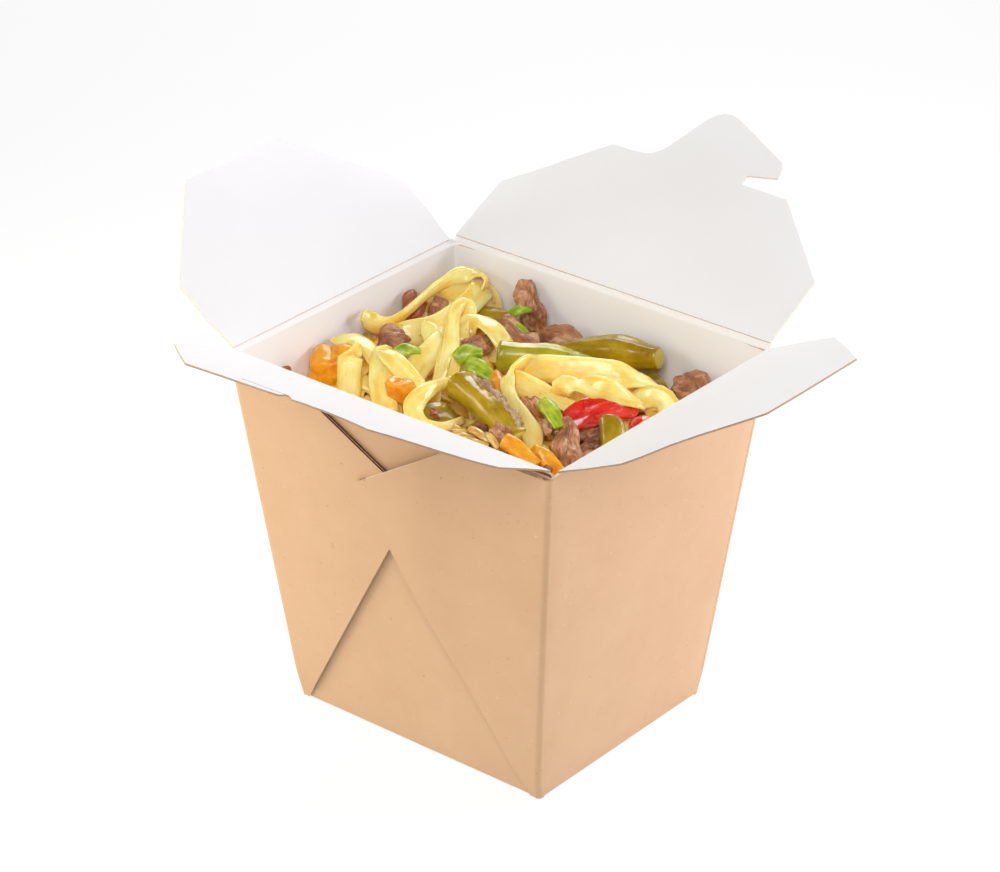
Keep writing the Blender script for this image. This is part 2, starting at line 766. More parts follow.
# the heap's outline, seen from above, and how high the noodles in it stand so far
roof = {}
level = {}
bpy.context.view_layer.update()
for i in range(-54, 55):
    for j in range(-46, 47):
        hit, place, _, _ = core.ray_cast((i * CELL, j * CELL, 0.13), (0, 0, -1))
        if hit and place.z > 60 * MM:
            roof[i, j] = place.z
            level[i, j] = place.z - CORE_DROP
for vertex in core.data.vertices:
    share = smoothstep(60 * MM, 80 * MM, vertex.co.z)
    vertex.co.x *= 1 - 0.02 * share
    vertex.co.y *= 1 - 0.02 * share
    vertex.co.z -= CORE_DROP * share


def depth_at(place):
    """How deep a place lies in the heap, from 0 at its outline to 1 well below."""
    return smoothstep(-1.5 * MM, 4.5 * MM, roof.get(cell(place.x, place.y), 0.085) - place.z)


core_finish, at = new_finish("noodle_core", Roughness=0.45, Coat_Weight=0.2)
deep = at.stretched(1, 1, 2, (0.3, 0.2, 0.6)).grain(260, 4, 0.6)
connect(
    core_finish, Base_Color=deep.mixed(tone(150, 96, 26), tone(226, 176, 78)),
    Normal=deep.height(0.8, 0.001),
)
core.data.materials.append(core_finish)
bpy.ops.object.shade_smooth()
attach(core, "root")
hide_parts("noodle_heap")


# ---------------------------------------------------------------- noodles laid by hand
# Flat wheat noodles, 6 to 8 mm wide and a little over 1 mm thick, boiled and tossed in oil. The ones
# on top stand in loops and folds; each follows its own route and turns as a springy ribbon does.

NOODLE_WIDTH = 6.4 * MM
NOODLE_THICK = 1.45 * MM
STEP = 1.5 * MM
UP = (0, 0, 1)
EYE = (0.56, -0.69, 0.46)
BACK_LEFT = (-0.77, -0.63, 0.1)
BACK_RIGHT = (0.77, 0.63, 0.1)


def spaced(points, step=STEP):
    """Evenly spaced places on a smooth curve through the points, and each point's place among them."""
    points = [Vector(p) for p in points]
    padded = [points[0] * 2 - points[1]] + points + [points[-1] * 2 - points[-2]]
    fine, marks = [], []
    for a, b, c, d in zip(padded, padded[1:], padded[2:], padded[3:]):
        marks.append(len(fine))
        for k in range(24):
            f = k / 24
            fine.append((b * 2 + (c - a) * f + (a * 2 - b * 5 + c * 4 - d) * f ** 2
                         + (b * 3 - a - c * 3 + d) * f ** 3) / 2)
    marks.append(len(fine))
    fine.append(points[-1])
    length = [0.0]
    for a, b in zip(fine, fine[1:]):
        length.append(length[-1] + (b - a).length)
    count = max(4, round(length[-1] / step))
    even, j = [], 0
    for i in range(count + 1):
        want = length[-1] * i / count
        while j < len(fine) - 2 and length[j + 1] < want:
            j += 1
        part = (want - length[j]) / max(length[j + 1] - length[j], 1e-9)
        even.append(fine[j].lerp(fine[j + 1], min(max(part, 0), 1)))
    return even, [length[m] / length[-1] * count for m in marks]


def headings(places):
    """The direction of travel at each place of a route."""
    ahead = places[1:] + [places[-1] * 2 - places[-2]]
    behind = [places[0] * 2 - places[1]] + places[:-1]
    return [(a - b).normalized() for a, b in zip(ahead, behind)]


def facings(places, keys):
    """Which way a ribbon's flat side faces at each place, turning as little as it can between the keys."""
    ways = headings(places)
    first = Vector(keys[0][1])
    face = (first - ways[0] * first.dot(ways[0])).normalized()
    carried = [face]
    for before, way in zip(ways, ways[1:]):
        face = before.rotation_difference(way) @ face
        face = (face - way * face.dot(way)).normalized()
        carried.append(face)
    turns = []
    for index, wanted in keys:
        i = min(round(index), len(places) - 1)
        flat = Vector(wanted) - ways[i] * Vector(wanted).dot(ways[i])
        angle = carried[i].angle(flat, 0)
        if carried[i].cross(flat).dot(ways[i]) < 0:
            angle = -angle
        if turns:
            while angle - turns[-1][1] > math.pi:
                angle -= 2 * math.pi
            while angle - turns[-1][1] < -math.pi:
                angle += 2 * math.pi
        turns.append((i, angle))
    result = []
    for i, (face, way) in enumerate(zip(carried, ways)):
        before = max((t for t in turns if t[0] <= i), default=turns[0])
        after = min((t for t in turns if t[0] >= i), default=turns[-1])
        share = smoothstep(before[0], after[0], i) if after[0] > before[0] else 0
        angle = before[1] + (after[1] - before[1]) * share
        result.append(face * math.cos(angle) + way.cross(face) * math.sin(angle))
    return result, ways


RING = 12
SAUCE_POOL = Vector((14, -17, 84)) * MM


def ribbon(name, places, faces, ways, widths, thick=NOODLE_THICK, seed=0.0):
    """A closed ribbon along places: a grid rolled into a flat tube, its seam merged and its ends capped."""
    rows = len(places)
    bpy.ops.object.select_all(action="DESELECT")
    bpy.ops.mesh.primitive_grid_add(x_subdivisions=rows - 1, y_subdivisions=RING, size=2)
    piece = bpy.context.object
    piece.name = name
    lay = piece.data.attributes.new("lay", "FLOAT_VECTOR", "POINT")
    deep = piece.data.attributes.new("deep", "FLOAT_VECTOR", "POINT")
    for vertex in piece.data.vertices:
        i = round((vertex.co.x + 1) / 2 * (rows - 1))
        angle = (vertex.co.y + 1) * math.pi
        side = math.copysign(abs(math.cos(angle)) ** 0.85, math.cos(angle))
        top = math.copysign(abs(math.sin(angle)) ** 0.5, math.sin(angle))
        wobble = 1 + 0.10 * noise.noise(Vector((i * 0.16, seed * 7.1, side)))
        edge = 1 - 0.25 * side ** 2
        across = faces[i].cross(ways[i])
        curl = 0.35 * MM * side ** 2 * noise.noise(Vector((i * 0.12, seed * 3.3, 5)))
        vertex.co = (places[i] + across * (side * widths[i] / 2 * wobble)
                     + faces[i] * (top * thick / 2 * edge + curl))
        lay.data[vertex.index].vector = (i * STEP, side, top + seed * 3)
        near_front = smoothstep(26 * MM, 6 * MM, (vertex.co - SAUCE_POOL).length)
        facing_up = (faces[i] * math.sin(angle) + across * math.cos(angle) * 0.5).z
        under = 0.75 * smoothstep(0.35, -0.7, facing_up)
        deep.data[vertex.index].vector = (max(depth_at(vertex.co), under), near_front, 0)
    pick(piece)
    bpy.ops.object.mode_set(mode="EDIT")
    bpy.ops.mesh.select_all(action="SELECT")
    bpy.ops.mesh.remove_doubles(threshold=0.002 * MM)
    bpy.ops.mesh.select_mode(type="EDGE")
    bpy.ops.mesh.select_all(action="DESELECT")
    bpy.ops.mesh.select_non_manifold(extend=False, use_multi_face=False, use_verts=False)
    bpy.ops.mesh.fill_holes(sides=0)
    bpy.ops.mesh.select_all(action="SELECT")
    bpy.ops.mesh.normals_make_consistent(inside=False)
    bpy.ops.object.mode_set(mode="OBJECT")
    return piece


noodle_finish, lay = new_finish(
    "noodle", "lay", Subsurface_Weight=0.5, Subsurface_Radius=(1.0, 0.7, 0.22), Subsurface_Scale=0.004,
    Coat_Roughness=0.1, IOR=1.42, Emission_Strength=0.05,
)
patches = lay.stretched(120, 0.9, 1).grain(1.0, 2, 0.5)
streaks = lay.stretched(60, 3.5, 1).grain(1.0, 3, 0.6)
oil = lay.stretched(420, 2.2, 1).grain(1.0, 2, 0.5)
depths = lay.node("Attribute", {"attribute_name": "deep"}, output=1)
shade = depths.node("SeparateXYZ", {}, {0: depths})
sauce = depths.node("SeparateXYZ", {}, {0: depths}, output=1)
colour = (patches * 0.75 + streaks * 0.25).band(0.3, 0.66).mixed(tone(246, 198, 76), tone(250, 234, 150))
colour = (shade * (0.45 + patches * 0.9)).mixed(colour, tone(240, 164, 26))
colour = (shade.band(0.6, 1.0) * 0.75).mixed(colour, tone(168, 98, 14))
colour = (sauce * (0.3 + shade * 0.7)).mixed(colour, tone(146, 78, 14))
pepper_specks = lay.stretched(1500, 6, 1).grain(1.0, 1, 0.4).band(0.74, 0.78)
colour = (pepper_specks * 0.6).mixed(colour, tone(132, 104, 30))
connect(
    noodle_finish, Base_Color=colour, Emission_Color=colour, Roughness=0.22 + oil * 0.25, Coat_Weight=oil.band(0.35, 0.6) * 0.8,
    Normal=(streaks * 0.4 + oil * 0.6).height(0.5, 0.0005),
)

# Each noodle: its width, then its route in millimetres. A place may say which way the flat side faces
# there, and what share of the width shows where the ribbon is pinched.
HAND_LAID = {
    "noodle_loop": (6.8, (
        (-12.5, -8.5, 86.0, EYE), (-14.3, -4.6, 87.2, EYE), (-18.7, 1.7, 89.2, EYE), (-23, 8, 91.2, EYE, 0.66),
        (-26.1, 12.2, 92.8, EYE, 0.58), (-29.1, 16.6, 94.8, EYE, 0.52), (-30.2, 19.9, 95.9, EYE, 0.46),
        (-30, 22.5, 95.9, EYE, 0.42), (-28.6, 22.8, 94.4, EYE, 0.5), (-27.6, 20.7, 92.6, EYE, 0.52),
        (-27.5, 18.2, 91, EYE, 0.52), (-28, 15.6, 89.8, EYE, 0.5))),
    "noodle_arc": (6.4, (
        (-26, 13.8, 89.6, EYE), (-25.9, 18.3, 92, EYE), (-23.2, 20.7, 93, UP), (-18.7, 20.5, 92.2), (-14.8, 20.2, 89, UP))),
    "noodle_band_up": (5.2, (
        (-48.2, 3.3, 95.2, BACK_RIGHT), (-46.9, 3.6, 93, EYE), (-45.2, 6, 90.8, EYE), (-44.5, 9.9, 90.2, 0.8),
        (-44, 15.6, 91.7, BACK_RIGHT, 0.62), (-43.8, 21.8, 93.5, BACK_RIGHT, 0.6), (-44, 28.8, 94.7, BACK_RIGHT, 0.66),
        (-42.4, 34.2, 95.4, EYE), (-39.9, 38.2, 95.8, UP), (-36.1, 38.4, 94.8, BACK_RIGHT), (-35.7, 36.2, 92))),
    "noodle_band_low": (7.0, (
        (-44.4, 6.4, 87, UP), (-39.6, 10.6, 88.4, EYE), (-35.8, 16.6, 88.8, EYE), (-34.5, 23.5, 90.2), (-34.6, 30.5, 92, EYE),
        (-35.6, 36, 93.4, EYE))),
    "noodle_left_arc": (5.4, (
        (-46.5, -9.5, 90.2, EYE), (-45.6, -6.6, 91.8, UP), (-41.8, -5.7, 91.6, UP), (-37.2, -7, 90.8), (-31.6, -9.3, 88.8))),
    "noodle_stub": (6.2, (
        (-33.4, -21, 79, EYE), (-34, -19.2, 84, EYE), (-35.4, -17, 89.4, EYE), (-36.3, -15.5, 92.6, EYE),
        (-36.4, -14.4, 94.4, BACK_RIGHT, 0.8), (-35.4, -12.6, 93.6, BACK_RIGHT, 0.6))),
    "noodle_wide": (5.4, (
        (-34.2, -5.4, 90.6, UP, 0.8), (-31.2, -7.8, 92.6, UP), (-26.1, -9.6, 91.8, EYE), (-18.9, -12.4, 90.7, EYE),
        (-12.2, -15.2, 88.2, UP))),
    "noodle_wide_end": (6.4, (
        (-33, -5, 90, EYE, 0.8), (-31.4, -8.3, 91.8, EYE), (-28.9, -12.2, 90.2), (-25.7, -16, 88, EYE), (-19.9, -20.6, 84, EYE))),
    "noodle_shaded": (6.6, (
        (-27.5, 13, 90, EYE), (-26.4, 8.5, 91, EYE), (-25.3, 3.2, 90.4), (-24.8, -1.6, 89.4, EYE), (-22.9, -8.7, 87, EYE))),
    "noodle_spike": (5.0, (
        (-34.2, 10.4, 93, EYE, 0.5), (-31.4, 9.3, 92.4, EYE), (-28.8, 7.6, 91.4), (-25, 5.6, 89, EYE))),
    "noodle_ring": (5.6, (
        (-13, -0.3, 87.5, EYE, 0.4), (-12.4, -2.9, 89, EYE, 0.42), (-10.5, -11.1, 91.4, EYE, 0.55),
        (-9.9, -17.9, 92, EYE, 0.8), (-8.6, -23.2, 91.2, EYE, 0.95), (-5.7, -25.9, 89.6, EYE, 0.85),
        (-2.4, -25.3, 88.2, EYE, 0.6), (0.6, -22, 87.6, EYE, 0.48), (0.7, -15.5, 87, EYE, 0.4))),
    "noodle_s": (5.4, (
        (6.5, 12.5, 91, UP), (4.9, 11.2, 93.2, UP, 0.8), (2.4, 8, 94.6, BACK_LEFT, 0.8), (2, 2.1, 94.2, BACK_LEFT, 0.8),
        (3.8, -1.9, 92.4, EYE, 0.72), (8.2, -5.6, 90.8, EYE, 0.75), (13.9, -8.2, 89.3, EYE, 0.8), (19.4, -11.4, 87.8, EYE, 1.0),
        (23.2, -15.4, 85, EYE, 0.7), (24.6, -17.6, 82, EYE, 0.6))),
    "noodle_big": (7.4, (
        (2.6, 6.2, 90.5, EYE), (4.8, 8.2, 93, EYE), (11.8, 11.9, 93.6, EYE), (20.9, 17.8, 93.2, EYE), (27.6, 22.9, 91.6, UP),
        (30.6, 25, 89.4, BACK_RIGHT), (31.4, 22.4, 87.2, UP), (28, 18.5, 86.4, UP))),
    "noodle_fold": (6.0, (
        (15.9, 5.6, 90.5, EYE, 0.8), (16.3, 4.3, 93, EYE), (19.7, 5.1, 94.6, UP), (24.9, 8.5, 94.2, EYE), (28.7, 11.8, 92.4),
        (32.4, 16.2, 89, UP))),
    "noodle_sweep": (6.4, (
        (-1.5, 3.4, 90, UP), (2.4, 1.6, 91.8, EYE), (9.8, 1.6, 91.2, EYE), (16.4, 2.5, 90, UP), (21.6, 4.9, 88.3), (26, 8.4, 86.8, UP))),
    "noodle_right_end": (6.0, (
        (28.6, 15.8, 88.4, UP), (32.2, 20.6, 89.6, EYE), (35.6, 21.8, 88.6), (38, 20.4, 85.6, EYE))),
}


def hand_laid(name, width, stops):
    """One noodle from its stops."""
    even, marks = spaced([Vector(stop[:3]) * MM for stop in stops])
    keys = [(mark, part) for mark, stop in zip(marks, stops) for part in stop[3:] if isinstance(part, tuple)]
    faces, ways = facings(even, keys)
    shares = [next((part for part in stop[3:] if isinstance(part, float)), 1.0) for stop in stops]
    widths = []
    for i in range(len(even)):
        after = min(k for k, mark in enumerate(marks) if mark >= i - 1e-6)
        before = max(after - 1, 0)
        share = smoothstep(marks[before], marks[after], i) if after > before else 1
        widths.append(width * MM * (shares[before] + (shares[after] - shares[before]) * share))
    piece = ribbon(name, even, faces, ways, widths, seed=len(name) + stops[0][0])
    piece.data.materials.append(noodle_finish)
    bpy.ops.object.shade_smooth()
    return piece


laid = []
for name, (width, stops) in HAND_LAID.items():
    piece = hand_laid(name, width, stops)
    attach(piece, "root")
    laid.append(piece)


# ---------------------------------------------------------------- noodles in the heap
# The other noodles of the portion lie where they fell, each over those laid before, up to the heap's
# outline. They are wound about at random, some flat and some on edge, and their ends dip out of sight.

REACH_X = 45.5 * MM
REACH_Y = 37.5 * MM
UNDER_COUNT = 420
chance = random.Random(11)


def top_at(x, y, reach=2):
    """How high the heap stands around a place so far."""
    i, j = cell(x, y)
    near = [level[a, b] for a in range(i - reach, i + reach + 1) for b in range(j - reach, j + reach + 1)
            if (a, b) in level]
    near.sort()
    return near[int(len(near) * 0.7)] if near else 0.12


def wander(length):
    """A flat winding route that stays in the box."""
    x, y = chance.uniform(-REACH_X, REACH_X), chance.uniform(-REACH_Y, REACH_Y)
    way = chance.uniform(0, 2 * math.pi)
    bend, route = chance.uniform(-0.09, 0.09), []
    for _ in range(length):
        route.append((x, y))
        bend = min(max(bend + chance.uniform(-0.035, 0.035), -0.16), 0.16)
        way += bend
        x += math.cos(way) * STEP
        y += math.sin(way) * STEP
        if abs(x) > REACH_X or abs(y) > REACH_Y:
            home = math.atan2(-y, -x)
            turn = (home - way + math.pi) % (2 * math.pi) - math.pi
            way += 0.5 * turn
            x = min(max(x, -REACH_X - MM), REACH_X + MM)
            y = min(max(y, -REACH_Y - MM), REACH_Y + MM)
    return route


def lay_down(number):
    """One noodle let down on the heap, or nothing if it would stand above the heap's outline."""
    width = chance.uniform(4.6, 7.2) * MM
    route = wander(chance.randint(18, 44))
    tilt_seed = chance.uniform(0, 90)
    heights, tilts = [], []
    for k, (x, y) in enumerate(route):
        tilt = 1.15 * noise.noise(Vector((k * 0.09, tilt_seed, 0)))
        tilts.append(tilt)
        heights.append(top_at(x, y) + NOODLE_THICK * 0.5 + abs(math.sin(tilt)) * width * 0.28)
    soft = []
    for k in range(len(heights)):
        near = heights[max(0, k - 3):k + 4]
        soft.append(sum(near) / len(near))
    keep, run = (0, 0), 0
    for k, (x, y) in enumerate(route):
        fits = soft[k] + 0.3 * MM < roof.get(cell(x, y), 0) + 0.4 * MM
        run = run + 1 if fits else 0
        if run > keep[1] - keep[0]:
            keep = (k + 1 - run, k + 1)
    if keep[1] - keep[0] < 11:
        return None
    route, soft, tilts = (part[keep[0]:keep[1]] for part in (route, soft, tilts))
    count = len(route)
    for k in range(3):
        dip = (3 - k) ** 2 * 0.25 * MM
        soft[k] -= dip
        soft[-1 - k] -= dip
    places = [Vector((x, y, z)) for (x, y), z in zip(route, soft)]
    ways = headings(places)
    faces = []
    for way, tilt in zip(ways, tilts):
        across = way.cross(Vector((0, 0, 1))).normalized()
        flat = across.cross(way).normalized()
        faces.append(flat * math.cos(tilt) + across * math.sin(tilt))
    for (x, y), z, tilt in zip(route, soft, tilts):
        i, j = cell(x, y)
        half = int(width * 0.42 * math.cos(tilt) / CELL)
        for a in range(i - half, i + half + 1):
            for b in range(j - half, j + half + 1):
                if (a, b) in level and (a - i) ** 2 + (b - j) ** 2 <= half * half + 1:
                    level[a, b] = max(level[a, b], z + NOODLE_THICK * 0.5)
    return ribbon(f"under_{number}", places, faces, ways, [width] * count, seed=number * 0.37)


def join(pieces, name):
    """Make many like pieces one."""
    bpy.ops.object.select_all(action="DESELECT")
    for piece in pieces:
        piece.select_set(True)
    bpy.context.view_layer.objects.active = pieces[0]
    bpy.ops.object.join()
    pieces[0].name = name
    return pieces[0]


under = [piece for piece in (lay_down(k) for k in range(UNDER_COUNT)) if piece]
under_noodles = join(under, "noodles_below")
under_noodles.data.materials.append(noodle_finish)
bpy.ops.object.shade_smooth()
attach(under_noodles, "root")


# ---------------------------------------------------------------- beef
# Strips and chunks of beef cut across the grain and stir-fried: grey-brown and pinkish, fibrous, with
# ragged ends, glazed with a thin sauce. The glazed ones near the front are darker and wet.


def long_axis(piece):
    """A piece's middle and the direction in which it is longest."""
    corners = [vertex.co for vertex in piece.data.vertices]
    middle = sum(corners, Vector()) / len(corners)
    first = max(corners, key=lambda c: (c - middle).length)
    second = max(corners, key=lambda c: (c - first).length)
    return middle, (second - first).normalized()


def squared(local, amount):
    """A round section made squarer, as a knife leaves it."""
    across = Vector((0, local.y, local.z))
    if across.length < 0.2 * MM:
        return Vector()
    widest = max(abs(across.y + across.z), abs(across.y - across.z)) / across.length
    return across * (amount * (widest ** 3 - 1))


def flat_ended(local, half):
    """The two ends cut square across."""
    limit = half - 1.3 * MM
    beyond = max(0, abs(local.x) - limit)
    swell = 0.16 * smoothstep(limit - 2.5 * MM, limit, abs(local.x))
    return Vector((-math.copysign(beyond * 0.85, local.x), local.y * swell, local.z * swell))


def topping(node, finish, voxel, shaped):
    """One piece of topping: its solid made a fine even skin, then shaped point by point."""
    piece = cad_copy(node, node + "_piece")
    modify(piece, "REMESH", mode="VOXEL", voxel_size=voxel)
    modify(piece, "SMOOTH", factor=0.5, iterations=6)
    middle, axis = long_axis(piece)
    side = axis.cross(Vector((0, 0, 1))).normalized()
    third = axis.cross(side)
    half = max(abs((vertex.co - middle).dot(axis)) for vertex in piece.data.vertices)
    grain = piece.data.attributes.new("grain", "FLOAT_VECTOR", "POINT")
    ends = piece.data.attributes.new("ends", "FLOAT_VECTOR", "POINT")
    normals = [vertex.normal.copy() for vertex in piece.data.vertices]
    seed = sum(ord(letter) for letter in node) * 0.37
    for vertex, normal in zip(piece.data.vertices, normals):
        away = vertex.co - middle
        local = Vector((away.dot(axis), away.dot(side), away.dot(third)))
        grain.data[vertex.index].vector = local + Vector((seed * 0.01, 0, 0))
        ends.data[vertex.index].vector = (abs(local.x) / half, math.hypot(local.y, local.z) / (4 * MM), 0)
        moved, cut = shaped(local, normal, half, seed)
        if node == "beef_tall":
            moved -= (side * local.y + third * local.z) * 0.6 * smoothstep(86 * MM, 92 * MM, vertex.co.z)
        vertex.co += moved + axis * cut.x + side * cut.y + third * cut.z
    piece.data.materials.append(finish)
    pick(piece)
    bpy.ops.object.shade_smooth()
    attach(piece, "root")
    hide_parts(node)
    return piece


def fibrous(local, normal, half, seed):
    """Meat: lumps, fibres along the piece and ragged ends."""
    shift = Vector((seed, 0, 0))
    big = noise.noise(local * 95 + shift * 2)
    lumps = noise.noise(local * 210 + shift)
    strands = noise.noise(Vector((local.x * 160, local.y * 620, local.z * 620)) + shift)
    fine = noise.noise(Vector((local.x * 500, local.y * 1500, local.z * 1500)) + shift)
    end = max(0, abs(local.x) / half - 0.6) / 0.4
    ragged = noise.noise(Vector((local.x * 60, local.y * 800, local.z * 800)) + shift) * end
    return normal * (big * 1.8 + lumps * 1.6 + strands * 1.0 + fine * 0.4 + ragged * 2.0 + 0.3) * MM, Vector()


def beef_finish(name, dark, middle, light, rough, coat):
    finish, grain = new_finish(
        name, "grain", Subsurface_Weight=0.12, Subsurface_Radius=(0.9, 0.4, 0.25), Subsurface_Scale=0.002,
        Coat_Roughness=0.18,
    )
    strands = grain.stretched(420, 1300, 1300).grain(1.0, 4, 0.65, 0.4)
    fat = grain.stretched(260, 520, 520).grain(1.0, 4, 0.65, 0.8)
    cloud = grain.grain(170, 3, 0.6)
    flesh = (cloud * 0.5 + strands * 0.5).band(0.36, 0.64).mixed(dark, middle)
    flesh = (fat.band(0.46, 0.66) * 0.75).mixed(flesh, light)
    flesh = (cloud.band(0.46, 0.3) * 0.6).mixed(flesh, dark)
    wet = grain.grain(420, 2, 0.5)
    connect(
        finish, Base_Color=flesh, Roughness=rough + cloud * 0.3, Coat_Weight=wet.band(0.42, 0.62) * coat,
        Normal=(strands * 1.0 + fat * 0.5 + wet * 0.2).height(1.0, 0.0009),
    )
    return finish


stewed = beef_finish("beef", tone(148, 88, 50), tone(206, 140, 94), tone(236, 188, 144), 0.36, 0.4)
browned = beef_finish("beef_browned", tone(134, 62, 30), tone(186, 104, 62), tone(226, 166, 130), 0.3, 0.7)
glazed = beef_finish("beef_glazed", tone(108, 56, 28), tone(172, 108, 66), tone(216, 162, 120), 0.24, 0.6)
fatty = beef_finish("beef_fatty", tone(176, 92, 28), tone(214, 142, 74), tone(244, 204, 160), 0.25, 0.8)
for node, finish in (
    ("beef_upright", stewed), ("beef_back_strip", stewed), ("beef_back_end", stewed), ("beef_left", stewed),
    ("beef_corner", browned), ("beef_stub", stewed), ("beef_middle", stewed), ("beef_right", stewed),
    ("beef_tall", stewed), ("beef_glossy", glazed), ("beef_low", glazed), ("beef_fatty", fatty),
):
    topping(node, finish, 0.45 * MM, fibrous)


# ---------------------------------------------------------------- beans
# Lengths of green bean, cut and stir-fried: olive where they are cooked through, fresher green on the
# least cooked, with swellings over the seeds, faint lines along the pod and small browned places.


def podded(local, normal, half, seed):
    """Bean: a swelling over each seed and faint lines along the pod."""
    seeds = math.sin(local.x / (3.1 * MM) * math.pi / 2 + seed)
    lines = noise.noise(Vector((local.x * 40, local.y * 900, local.z * 900 + seed)))
    lumps = noise.noise(local * 150 + Vector((seed, 0, 0)))
    moved = normal * (0.18 * seeds + 0.06 * lines + 0.3 * lumps + 0.2) * MM
    return moved, squared(local, 0.05) + flat_ended(local, half)


def bean_finish(name, dark, middle, light, coat, cut_rim):
    finish, grain = new_finish(
        name, "grain", Subsurface_Weight=0.12, Subsurface_Radius=(0.8, 0.8, 0.1), Subsurface_Scale=0.002,
        Coat_Roughness=0.1,
    )
    lines = grain.stretched(60, 1300, 1300).grain(1.0, 3, 0.6)
    cloud = grain.stretched(150, 260, 260).grain(1.0, 3, 0.6)
    skin = (cloud * 0.8 + lines * 0.2).band(0.34, 0.66).mixed(dark, middle)
    pale = grain.stretched(160, 380, 380).grain(1.0, 4, 0.7)
    skin = (pale.band(0.5, 0.8) * 0.5).mixed(skin, light)
    brown = grain.grain(330, 3, 0.6).band(0.62, 0.74)
    skin = (brown * 0.5).mixed(skin, tone(122, 84, 18))
    ends = grain.node("Attribute", {"attribute_name": "ends"}, output=1)
    cut = ends.node("SeparateXYZ", {}, {0: ends}).band(0.93, 0.965)
    inside = ends.node("SeparateXYZ", {}, {0: ends}, output=1).band(0.75, 0.4)
    skin = cut.mixed(skin, inside.mixed(cut_rim, light))
    connect(
        finish, Base_Color=skin, Roughness=0.2 + cloud * 0.22, Coat_Weight=pale.band(0.3, 0.6) * coat,
        Normal=(lines * 0.2 + pale * 0.5).height(0.3, 0.0004),
    )
    return finish


olive = bean_finish("bean_olive", tone(148, 116, 2), tone(178, 146, 8), tone(206, 182, 48), 0.6, tone(180, 160, 20))
fresh = bean_finish("bean_fresh", tone(152, 144, 8), tone(186, 176, 36), tone(228, 218, 120), 0.6, tone(152, 172, 10))
yellowed = bean_finish("bean_yellowed", tone(160, 128, 4), tone(190, 156, 20), tone(222, 196, 80), 0.45, tone(196, 178, 36))
deep_olive = bean_finish("bean_deep", tone(140, 116, 4), tone(172, 146, 16), tone(200, 178, 60), 0.6, tone(172, 146, 16))
for node, finish in (
    ("bean_olive", olive), ("bean_light", fresh), ("bean_diagonal", yellowed), ("bean_dark", deep_olive),
    ("bean_back", olive), ("bean_end", olive), ("bean_tucked", deep_olive),
):
    topping(node, finish, 0.45 * MM, podded)


# ---------------------------------------------------------------- carrots
# Thick batons and slices of carrot, cooked soft: bright orange, with cut faces, rounded edges and a
# paler line of rings in them, wet with oil.


def cut_soft(local, normal, half, seed):
    """Carrot: cut faces gone soft."""
    lumps = noise.noise(local * 210 + Vector((seed, 0, 0)))
    faces = noise.cell(Vector((local.x * 90, local.y * 130, local.z * 130)) + Vector((seed, 0, 0)))
    return normal * (0.35 * lumps + 0.2 * faces + 0.1) * MM, squared(local, 0.24) + flat_ended(local, half)


carrot_finish, grain = new_finish(
    "carrot", "grain", Subsurface_Weight=0.4, Subsurface_Radius=(1.0, 0.35, 0.05), Subsurface_Scale=0.004,
    Coat_Roughness=0.1,
)
rings = grain.stretched(140, 500, 500).grain(1.0, 3, 0.6, 0.8)
cloud = grain.grain(200, 3, 0.6)
flesh = (rings * 0.6 + cloud * 0.4).band(0.35, 0.65).mixed(tone(228, 132, 0), tone(244, 178, 16))
flesh = (cloud.band(0.62, 0.75) * 0.6).mixed(flesh, tone(255, 206, 92))
connect(
    carrot_finish, Base_Color=flesh, Roughness=0.25 + cloud * 0.3, Coat_Weight=cloud.band(0.4, 0.6) * 0.7,
    Normal=(rings * 0.7 + cloud * 0.4).height(0.5, 0.0006),
)
for node in ("carrot_large", "carrot_front"):
    topping(node, carrot_finish, 0.4 * MM, cut_soft)


def baton(node, stops, width, thick, seed):
    """A thin cut stick of carrot along its stops."""
    even, marks = spaced([Vector(stop) * MM for stop in stops], 0.5 * MM)
    faces, ways = facings(even, [(0, EYE), (len(even) - 1, EYE)])
    piece = ribbon(node + "_piece", even, faces, ways, [width * MM] * len(even), thick=thick * MM, seed=seed)
    grain = piece.data.attributes.new("grain", "FLOAT_VECTOR", "POINT")
    for vertex in piece.data.vertices:
        grain.data[vertex.index].vector = vertex.co
        vertex.co += vertex.co.normalized() * 0.35 * MM * noise.noise(vertex.co * 300)
    piece.data.materials.append(carrot_finish)
    bpy.ops.object.shade_smooth()
    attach(piece, "root")
    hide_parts(node)


baton("carrot_stick", ((-4.4, 2.6, 90.6), (1.2, -1.4, 91), (7, -5.6, 88.8)), 3.6, 2.6, 0.4)
baton("carrot_near", ((16.4, -18.2, 87.6), (20.6, -18.8, 87), (27.4, -20, 84.6)), 4.4, 2.6, 1.3)
baton("carrot_corner", ((23.4, -15.6, 85.8), (28, -16.8, 86), (34, -18.6, 84)), 4.2, 2.4, 2.2)


# ---------------------------------------------------------------- red pepper
# Strips of red pepper: a thin smooth skin, deep red and very shiny, over paler flesh.


def smooth_skin(local, normal, half, seed):
    """Pepper: a smooth skin over soft folds."""
    folds = noise.noise(Vector((local.x * 90, local.y * 230, local.z * 230 + seed)))
    return normal * (0.8 * folds + 0.2) * MM, squared(local, 0.1)


